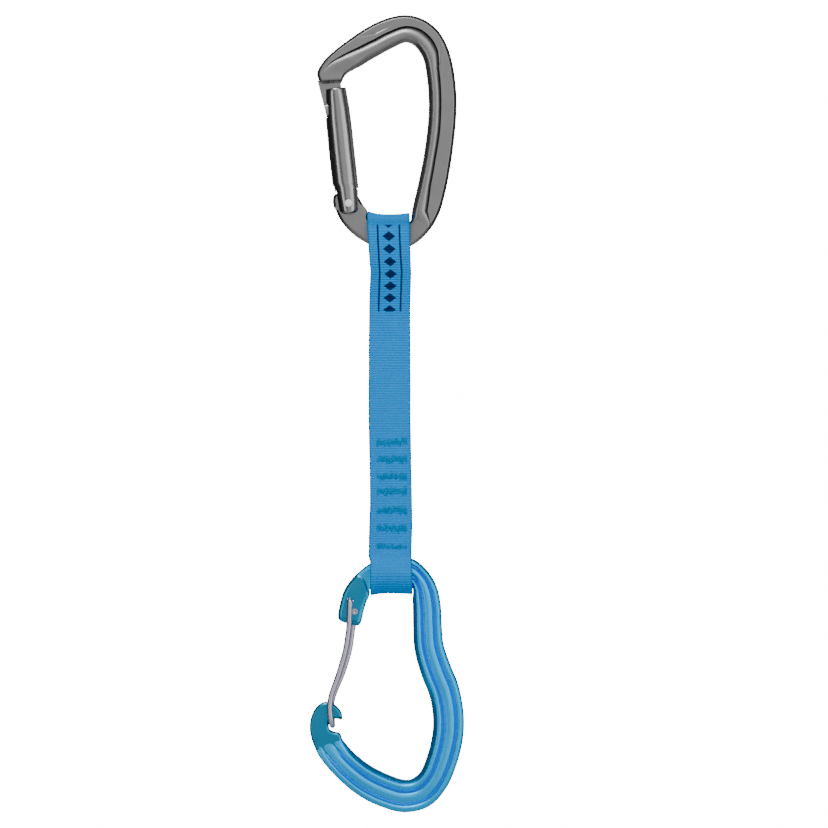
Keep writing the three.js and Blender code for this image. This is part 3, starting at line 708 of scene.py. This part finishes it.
def upper_gate():
    """The grey gate, cut for its tang, spring, key and rivet."""
    count = len(GATE_RINGS)
    t = np.linspace(0, 1, (count - 1) * 5 + 1)
    body = loft("upper_gate_body", [gate_ring(*r) for r in spline(GATE_RINGS, t)])
    slot = arc(RIVET_X, RIVET_Z, SLOT_RADIUS, -90, 90, 30)
    slot += [(RIVET_X + SLOT_RADIUS, SLOT_END), (RIVET_X - SLOT_RADIUS, SLOT_END)]
    wall = [(BORE_RADIUS, 0), (BORE_RADIUS, BORE_LENGTH)]
    bore = lathe("bore", [(POLE, 0)] + wall + [(POLE, BORE_LENGTH)], 32)
    lean_into(bore, BORE_FOOT)
    keyhole = sector("keyhole", key_outline(KEY_CLEARANCE, KEY_ROOT), *KEYHOLE_SPAN)
    hole = arc(RIVET_X, RIVET_Z, RIVET_RADIUS + RIVET_CLEARANCE, 0, 352, 44)
    cut(body, plate("slot", slot, SLOT_HALF), bore, keyhole, plate("rivet_hole", hole, RIVET_DRILL),
        thumb_flat())
    weighted(body)
    dress(body, GATE_GREY, "solid_gate", ("upper_gate",))


def thumb_flat():
    """A shallow almond cut on the gate's outer flank."""
    half = [(POLE, -6.5), (3.0, -5.5), (6.0, -2.5)]
    blank = lathe("almond", half + [(6.6, 0)] + [(r, -z) for r, z in reversed(half)], 40)
    direction = Vector((-0.86, -0.51, 0)).normalized()
    centre = Vector((-27.9, 0, -47.9)) + direction * 11.05
    blank.data.transform(Matrix.Translation(centre * MM))
    return blank


def gate_axis(z):
    """Where the gate's leaning axis is at a height."""
    return GATE_MIDDLE_X - GATE_LEAN * (z - GATE_MIDDLE_Z)


def lean_into(obj, z):
    """Moves a solid made round the Z axis onto the gate's leaning axis, from height z upward."""
    turn = Matrix.Rotation(-math.atan(GATE_LEAN), 4, "Y")
    shift = Matrix.Translation(Vector((gate_axis(z), 0, z)) * MM)
    obj.data.transform(shift @ turn)


RIVET_NECK, RIVET_DOME = 4.55, 0.45


def rivet():
    """A pin with a low dome at each end."""
    dome = []
    for k in range(9):
        a = math.pi / 2 * k / 8
        dome.append((RIVET_RADIUS * math.sin(a), RIVET_NECK + RIVET_DOME * math.cos(a)))
    dome[0] = (POLE, RIVET_NECK + RIVET_DOME)
    pin = lathe("upper_gate_rivet_pin", [(r, -y) for r, y in dome] + dome[::-1], 48)
    lie_down = Matrix.Rotation(math.pi / 2, 4, "X")
    pin.data.transform(Matrix.Translation(Vector((RIVET_X, 0, RIVET_Z)) * MM) @ lie_down)
    # The pin's heads carry a painted highlight: white matt in place of the steel's glint.
    dress(pin, RIVET_PAINTED_HIGHLIGHT, "solid_gate", ("upper_gate_rivet",))


SPRING_LOW, SPRING_HIGH = -55.2, -36.7
SPRING_RADIUS, SPRING_WIRE, SPRING_TURNS = 1.6, 0.3, 6


def gate_insides():
    """The CAD's own plunger, and a coil spring between it and the top of its bore."""
    plunger = frame["nodes"]["upper_gate_plunger"]
    plunger.data.materials.clear()
    plunger.data.materials.append(PIN_STEEL)
    count = SPRING_TURNS * 16
    turns = [2 * math.pi * SPRING_TURNS * k / count for k in range(count + 1)]
    rise = (SPRING_HIGH - SPRING_LOW) / turns[-1]
    helix = [(SPRING_RADIUS * math.cos(a), SPRING_RADIUS * math.sin(a), rise * a) for a in turns]
    coil = loft("upper_gate_spring_coil", sweep(helix, SPRING_WIRE, 8))
    lean_into(coil, SPRING_LOW)
    dress(coil, PIN_STEEL, None, ("upper_gate_spring",))
    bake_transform(coil)


# ---- lower carabiner ------------------------------------------------------------------------------
# The hood over the wire's end, with the notch that the wire shuts into.
NOSE = [
    (-27.5, -284.3), (-27.4, -283.0), (-27.6, -281.6), (-28.6, -280.0), (-30.4, -278.3), (-32.5, -277.3),
    (-34.6, -277.0), (-36.4, -277.6), (-38.4, -279.3), (-39.9, -281.7), (-40.8, -284.6), (-41.1, -287.6),
    (-40.7, -290.8), (-39.5, -294.4), (-37.8, -298.0), (-30.0, -300.0), (-26.6, -295.0), (-27.4, -292.8),
    (-27.8, -291.1), (-28.6, -290.0), (-30.4, -289.6), (-31.9, -289.1), (-32.8, -288.3), (-33.0, -286.7),
    (-32.9, -285.2), (-31.8, -284.2), (-30.2, -283.9), (-28.6, -284.2),
]
# The flat that carries the wire's two holes.
HINGE_PLATE = [
    (-21.0, -223.3), (-23.0, -225.2), (-24.8, -227.3), (-26.1, -229.3), (-27.1, -231.5), (-27.9, -233.9),
    (-28.6, -236.8), (-29.15, -239.7), (-29.1, -241.6), (-28.4, -242.8), (-27.2, -243.4), (-25.4, -243.9),
    (-22.8, -244.6), (-21.0, -244.85), (-19.9, -244.3), (-19.2, -242.7), (-18.35, -239.1), (-17.5, -235.9),
    (-16.7, -233.8), (-16.0, -232.4), (-15.8, -230.5), (-16.5, -226.5), (-18.5, -223.5),
]


def rounded(outline, each=4):
    """A closed outline through its points, smoothed."""
    closed = list(outline[-2:]) + list(outline) + list(outline[:3])
    total = len(closed) - 1
    start, end = 2, 2 + len(outline)
    t = np.linspace(start / total, end / total, len(outline) * each + 1)[:-1]
    return spline(closed, t)


def lower_frame():
    """The blue bar, with its hinge flat and its hooded nose."""
    body = bar("lower_frame_body", LOWER_RIBS, LowerHeights(), LOWER_HALF, first=1.7)
    dress(body, BLUE, "lower_carabiner", ("lower_frame",))
    hinge = plate("lower_frame_hinge", rounded(HINGE_PLATE), HINGE_PLATE_HALF, SOFT_CHAMFER)
    radius = WIRE_RADIUS + WIRE_CLEARANCE
    holes = [plate("hole", arc(x, z, radius, 0, 351, 40), WIRE_DRILL) for x, z in (HOLE_A, HOLE_B)]
    cut(hinge, *holes)
    weighted(hinge)
    # The hinge flat takes the darker blue, painted shade.
    dress(hinge, BLUE_PAINTED_SHADE, "lower_carabiner")
    nose = plate("lower_frame_nose", rounded(NOSE), HOOD_HALF, THIN_CHAMFER)
    weighted(nose)
    # The nose plate takes the darker blue too, painted shade.
    dress(nose, BLUE_PAINTED_SHADE, "lower_carabiner")


WIRE_STEP, WIRE_SIDES = 0.45, 24
# How far out each leg of the wire stands from the middle plane.
LEG = 4.55
FRONT_LEG = [(-24.3, -240.0), (-24.5, -245.1), (-26.0, -255.2), (-28.9, -265.3), (-32.1, -274.9),
             (-32.5, -280.5)]
BACK_LEG = [(-32.2, -280.5), (-31.3, -274.9), (-27.4, -265.3), (-24.4, -255.2), (-22.9, -245.1),
            (-22.2, -243.0)]


def wire_path():
    """Out of the upper hole, down the front, across in the nose's notch, up the back, into the lower."""
    (ax, az), (bx, bz) = HOLE_A, HOLE_B
    flush = HINGE_PLATE_HALF - 0.05
    start = [(ax, flush, az), (ax, 0, az), (ax, -2.6, az), (ax, -3.75, az - 0.1), (ax, -4.4, az - 0.6),
             (ax, -LEG, az - 1.6)]
    front = [(x, -LEG, z) for x, z in FRONT_LEG]
    bend = [(-31.9, -LEG + 0.4, -284.8), (-31.6, -2.9, -286.3), (-31.5, 0, -286.8), (-31.6, 2.9, -286.3),
            (-31.7, LEG - 0.4, -284.8)]
    back = [(x, LEG, z) for x, z in BACK_LEG]
    end = [(bx, LEG, bz - 1.6), (bx, 4.4, bz - 0.6), (bx, 3.75, bz - 0.1), (bx, 2.6, bz), (bx, 0, bz),
           (bx, -flush, bz)]
    return start + front + bend + back + end


def cupped(rings):
    """Sinks a small pit in each end of a tube, as a cropped wire has."""
    rings = [np.array(r) for r in rings]

    def pit(ring, inward):
        middle = ring.mean(axis=0)
        steps = [(0.93, 0.0), (0.6, 0.0), (0.45, 0.25), (0.02, 0.45)]
        return [middle + (ring - middle) * size + inward * depth for size, depth in steps]

    first, last = rings[0], rings[-1]
    into = rings[1].mean(axis=0) - first.mean(axis=0)
    out_of = rings[-2].mean(axis=0) - last.mean(axis=0)
    start = pit(first, into / np.linalg.norm(into))[::-1]
    return start + rings + pit(last, out_of / np.linalg.norm(out_of))


def wire_gate():
    """One bent wire, its two ends in the hinge flat."""
    line, _ = by_length(wire_path(), WIRE_STEP)
    wire = loft("lower_wire_gate_wire", cupped(sweep(line, WIRE_RADIUS, WIRE_SIDES)))
    dress(wire, WIRE_STEEL, None, ("lower_wire_gate",))
    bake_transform(wire)


# ---- sling ----------------------------------------------------------------------------------------
# The webbing's edges, from the crown down: height, left x, right x.
WEB_EDGES = np.array([
    [-71.5, -16.4, 0.6], [-74.5, -16.9, 0.95], [-78.0, -17.0, 1.1], [-84.3, -16.65, 1.2],
    [-91.0, -16.1, 1.4], [-96.4, -15.6, 1.6], [-103.0, -15.9, 1.4], [-110.0, -16.15, 1.2],
    [-121.0, -16.2, 1.2], [-158.6, -16.4, 1.35], [-176.2, -15.95, 1.6], [-193.9, -15.9, 2.05],
    [-203.1, -16.15, 2.15], [-210.3, -16.3, 1.8], [-215.6, -16.3, 1.65], [-217.6, -15.65, 1.7],
    [-229.6, -15.5, 2.0], [-232.5, -15.4, 2.0],
])


def web_edge(z, side):
    return np.interp(-z, -WEB_EDGES[:, 0], WEB_EDGES[:, side])


def web_middle(z):
    return (web_edge(z, 1) + web_edge(z, 2)) / 2


def web_half_width(z):
    return (web_edge(z, 2) - web_edge(z, 1)) / 2


# Half the space between the two plies where they lie together, and where they part below the upper bar.
PLY_GAP, PLIES_PART_Z = 0.06, -116
# Room round each bar, beyond the ply's own thickness.
UPPER_ROOM, LOWER_ROOM = 0.3, 0.05
QUARTER_STEPS = 6


def half_turn(radius):
    """(sine, cosine) offsets from one side of a bar, over it, to the other."""
    turns = (math.pi / 2 * k / QUARTER_STEPS for k in range(-QUARTER_STEPS, QUARTER_STEPS + 1))
    return [(radius * math.sin(a), radius * math.cos(a)) for a in turns]


def upper_strip_line():
    """(y, z) up the front ply from the neck, over the upper bar and down the back ply."""
    radius = UPPER_LOOP_BORE + WEB_PLY / 2 + UPPER_ROOM
    foot = UPPER_BAR_Z - 0.6 * UPPER_LOOP_BORE
    ply = WEB_PLY / 2 + PLY_GAP
    back = []
    for k in range(9):
        f = k / 8
        ease = f * f * (3 - 2 * f)
        back.append((radius + (ply - radius) * ease, foot + (PLIES_PART_Z - foot) * f))
    back += [(ply, z) for z in (-120, -125, -130, NECK_SEAM_Z)]
    front = [(-y, z) for y, z in reversed(back)]
    crown = [(y, UPPER_BAR_Z + rise) for y, rise in half_turn(radius)]
    return front + crown + back


def lower_strip_line():
    """(y, z) down the front ply from the neck, round the lower bar and up the back ply."""
    radius = LOWER_LOOP_BORE + WEB_PLY / 2 + LOWER_ROOM
    ply = WEB_PLY / 2 + PLY_GAP
    back = [(ply, z) for z in (NECK_SEAM_Z, -150, -165, -180, -195, -205, -210.5)]
    back += [(1.5, -213.2), (3.5, -215.2), (6.0, -217.4)]
    front = [(-y, z) for y, z in back]
    bottom = [(y, LOWER_BAR_Z - drop) for y, drop in half_turn(radius)]
    return front + bottom + back[::-1]


# The flat part of the ply's section, as a share of its half width; the rest is the rounded selvedge.
FLAT_SHARE = 0.965
RIB_HEIGHT = 0.045
CUP_REACH = 5.0


def strip_section():
    """Once round the ply, as shares of its half width and half thickness."""
    v = np.linspace(-1, 1, 21)
    flat = np.sign(v) * np.abs(v) ** 0.85 * FLAT_SHARE
    turns = np.linspace(math.pi / 2, -math.pi / 2, 7)[1:-1]
    selvedge = [(FLAT_SHARE + (1 - FLAT_SHARE) * math.cos(a), math.sin(a)) for a in turns]
    section = [(a, 1.0) for a in flat] + selvedge
    section += [(a, -1.0) for a in flat[::-1]] + [(-a, -b) for a, b in selvedge]
    return np.array(section)


def strip_ring(section, place, outward, s, crown_z, cup):
    """The ply's section at run s: ribbed, a little wavy, its corners lifted by cup near the crown."""
    across, side = section[:, 0], section[:, 1]
    y, z = place
    rib = RIB_HEIGHT * math.cos(2 * math.pi * s / RIB_PITCH)
    sway = 0.10 * math.sin(s / 13.0 + 1.0) + 0.06 * math.sin(s / 5.1)
    near = math.exp(-(((z - crown_z) / CUP_REACH) ** 2))
    thick = WEB_PLY / 2 * side * (1 - 0.10 * np.abs(across) ** 10) + np.sign(side) * rib
    corners = cup * near * np.abs(across) ** 2.6 * np.where(across < 0, 1.15, 0.6)
    ripple = 0.05 * np.sin(across * 7 + s / 9.0) * (1 - near)
    offset = thick + corners + ripple
    x = web_middle(z) + across * (web_half_width(z) + sway * 0.6 + rib * 1.6)
    return np.stack([x, y + outward[0] * offset, z + outward[1] * offset], axis=1)


def strip(name, line, crown_z, cup, printed):
    """One ply of webbing along a line of (y, z), with the lay that its weave and print follow."""
    path, run = by_length(line, RIB_PITCH / 4, 16)
    tangent = np.gradient(path, axis=0)
    tangent /= np.linalg.norm(tangent, axis=1)[:, None]
    outward = np.stack([-tangent[:, 1], tangent[:, 0]], axis=1)
    if np.sum(outward[:, 0] * path[:, 0]) < 0:
        outward = -outward
    section = strip_section()
    top = run[-1] / 2
    rings, lays = [], []
    for place, out, s in zip(path, outward, run):
        rings.append(strip_ring(section, place, out, s, crown_z, cup))
        across = section[:, 0] * web_half_width(place[1])
        from_top = np.full_like(across, top - s if printed else s)
        outer_front = (section[:, 1] > 0.5) * float(printed and s < top)
        lays.append(np.stack([across, from_top, outer_front], axis=1))
    obj = loft(name, rings, 60)
    lay = obj.data.attributes.new("lay", "FLOAT_VECTOR", "POINT")
    lay.data.foreach_set("vector", np.array(lays, np.float32).reshape(-1))
    # The crown mask marks the ply that takes the painted fold shade.
    crown = obj.data.attributes.new("crown", "FLOAT", "POINT")
    crown.data.foreach_set("value", np.full(len(obj.data.vertices), float(printed), np.float32))
    return obj


def sling():
    """The sewn ring in two pieces that meet at the neck."""
    upper = strip("sling_upper_webbing", upper_strip_line(), crown_z=-72.4, cup=1.3, printed=True)
    dress(upper, WEBBING, None, ("sling_top_loop",))
    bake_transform(upper)
    lower = strip("sling_lower_webbing", lower_strip_line(), crown_z=-231.4, cup=0.9, printed=False)
    dress(lower, WEBBING, None, ("sling_neck", "sling_sewn"))
    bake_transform(lower)


# The rows of stitching: their size, their middle X, and each row's height.
TACK_WIDTH, TACK_HEIGHT, TACK_MIDDLE = 12.6, 4.2, -6.5
TACK_ROWS = (-167.8, -175.0, -182.1, -188.4, -196.4, -204.0, -211.9)
STITCHES = 40
STITCH_RADIUS, STITCH_SIDES, STITCH_PROUD = 0.125, 6, 0.26
RAGGED, UNEVEN, JITTER = 1.3, 0.15, 0.05


def stitch(x, top, low, side, lean):
    """One upright stitch: proud in the middle, diving into the webbing at both ends."""
    face = WEB_HALF + 0.02
    path = []
    for f in (0, 0.08, 0.25, 0.5, 0.75, 0.92, 1):
        proud = 0.02 + STITCH_PROUD * math.sin(math.pi * min(max(f, 0.02), 0.98)) ** 0.45
        sway = lean * (f - 0.5) * 2 + rng.uniform(-JITTER, JITTER)
        path.append((x + sway, side * (face + proud - 0.12), top + (low - top) * f))
    return sweep(path, STITCH_RADIUS, STITCH_SIDES)


def bar_tack(index, z):
    """A row of dense upright stitches on both faces, ragged at its ends in threes."""
    verts, faces = [], []
    for side in (-1, 1):
        for k in range(STITCHES):
            x = TACK_MIDDLE - TACK_WIDTH / 2 + TACK_WIDTH * (k + 0.5) / STITCHES
            if k % 3 == 0:
                short = rng.uniform(0.0, RAGGED), rng.uniform(0.0, RAGGED)
            top = z + TACK_HEIGHT / 2 - short[0] + rng.uniform(-UNEVEN, UNEVEN)
            low = z - TACK_HEIGHT / 2 + short[1] + rng.uniform(-UNEVEN, UNEVEN)
            rings = stitch(x, top, low, side, 0.11 if k % 2 else -0.11)
            base = len(verts)
            verts.extend(v for ring in rings for v in ring)
            faces.extend(tuple(base + i for i in f) for f in loft_faces(len(rings), STITCH_SIDES))
    obj = new_mesh(f"bar_tack_{index}_thread", verts, faces, 60)
    dress(obj, THREAD, "sling_stitched", (f"bar_tack_{index}",))


# ---- stage ----------------------------------------------------------------------------------------
FLOOR_RADIUS, FLOOR_Z = 0.55, -0.49


def stage():
    """A pale floor below the hanging object, out of the front view."""
    bpy.ops.mesh.primitive_circle_add(vertices=96, radius=FLOOR_RADIUS, fill_type="NGON",
                                      location=(0, 0, FLOOR_Z))
    floor = bpy.context.object
    floor.name = "floor"
    paint, *_ = shader("floor_paint", Roughness=0.7, Base_Color=(0.82, 0.82, 0.82, 1))
    floor.data.materials.append(paint)


BACKDROP_WHITE, FILL = 16.0, 0.022


def power(tree, value, exponent, gain):
    return times(tree, calc(tree, "POWER", calc(tree, "MAXIMUM", value, 0.0), exponent), gain)


def band(tree, value, centre, width):
    """One where value is at centre, fading smoothly on both sides."""
    off = calc(tree, "DIVIDE", calc(tree, "SUBTRACT", value, centre), width)
    return calc(tree, "EXPONENT", times(tree, times(tree, off, off), -1.0))


def brightness(tree, direction):
    """A ring round the lens, brighter above and to the right, and a faint side, front, back and fill."""
    split = node(tree, "ShaderNodeSeparateXYZ", {0: direction})
    x, y, z = split.outputs[0], split.outputs[1], split.outputs[2]
    ahead = times(tree, y, -1.0)
    ring = times(tree, band(tree, ahead, 0.78, 0.14), spread(tree, z, -0.7, 0.7, 0.6, 2.1),
                 spread(tree, x, -0.6, 0.6, 0.12, 1.5))
    side = times(tree, band(tree, ahead, 0.24, 0.2), power(tree, x, 1.0, 0.3))
    front, back = power(tree, ahead, 1.0, 0.052), power(tree, y, 4.0, 0.7)
    return plus(tree, plus(tree, front, back), plus(tree, ring, side, FILL))


def world():
    """Soft studio light all round, and plain white where the camera looks past the object."""
    studio = bpy.data.worlds.new("studio")
    bpy.context.scene.world = studio
    studio.use_nodes = True
    tree = studio.node_tree
    background = tree.nodes["Background"]
    direction = node(tree, "ShaderNodeTexCoord").outputs["Generated"]
    seen = node(tree, "ShaderNodeLightPath").outputs["Is Camera Ray"]
    strength = node(tree, "ShaderNodeMix", {0: seen, 2: brightness(tree, direction), 3: BACKDROP_WHITE},
                    data_type="FLOAT")
    tree.links.new(strength.outputs[0], background.inputs["Strength"])
    background.inputs["Color"].default_value = (1, 1, 1, 1)


def area_light(name, location, target, width, height, watts):
    data = bpy.data.lights.new(name, "AREA")
    data.energy = watts
    data.shape = "RECTANGLE"
    data.size = width
    data.size_y = height
    obj = bpy.data.objects.new(name, data)
    bpy.context.scene.collection.objects.link(obj)
    obj.location = location
    aim = Vector(target) - Vector(location)
    obj.rotation_euler = aim.to_track_quat("-Z", "Y").to_euler()


# The view's middle and width at the object, and how far off the camera is, all in metres; the sensor is
# in millimetres.
VIEW_MIDDLE = Vector((2.73, 0.0, -156.07)) * MM
VIEW_WIDTH = 347.8 * MM
VIEW_DISTANCE = 1.7
SENSOR_WIDTH = 36.0


def camera():
    """Straight at the front, far enough off to flatten the perspective."""
    data = bpy.data.cameras.new("camera")
    data.type = "PERSP"
    data.sensor_width = SENSOR_WIDTH
    data.lens = SENSOR_WIDTH * VIEW_DISTANCE / VIEW_WIDTH
    obj = bpy.data.objects.new("camera", data)
    bpy.context.scene.collection.objects.link(obj)
    obj.location = VIEW_MIDDLE + Vector((0, -VIEW_DISTANCE, 0))
    obj.rotation_euler = (math.pi / 2, 0, 0)
    bpy.context.scene.camera = obj


def lights():
    area_light("gate_strip", (0.02, -1.25, -0.05), (0, 0, -0.15), 0.6, 1.2, watts=1.4)
    area_light("top_box", (-0.2, -0.7, 0.85), (0, 0, -0.05), 0.6, 0.5, watts=9.5)
    area_light("left_soft", (-0.8, -0.95, -0.2), (0, 0, -0.22), 0.3, 0.9, watts=2.0)
    area_light("right_soft", (0.9, -0.7, -0.2), (0, 0, -0.2), 0.2, 0.9, watts=1.6)


camera()
stage()
world()
lights()
upper_frame()
upper_gate()
rivet()
gate_insides()
lower_frame()
wire_gate()
sling()
for number, height in enumerate(TACK_ROWS, 1):
    bar_tack(number, height)
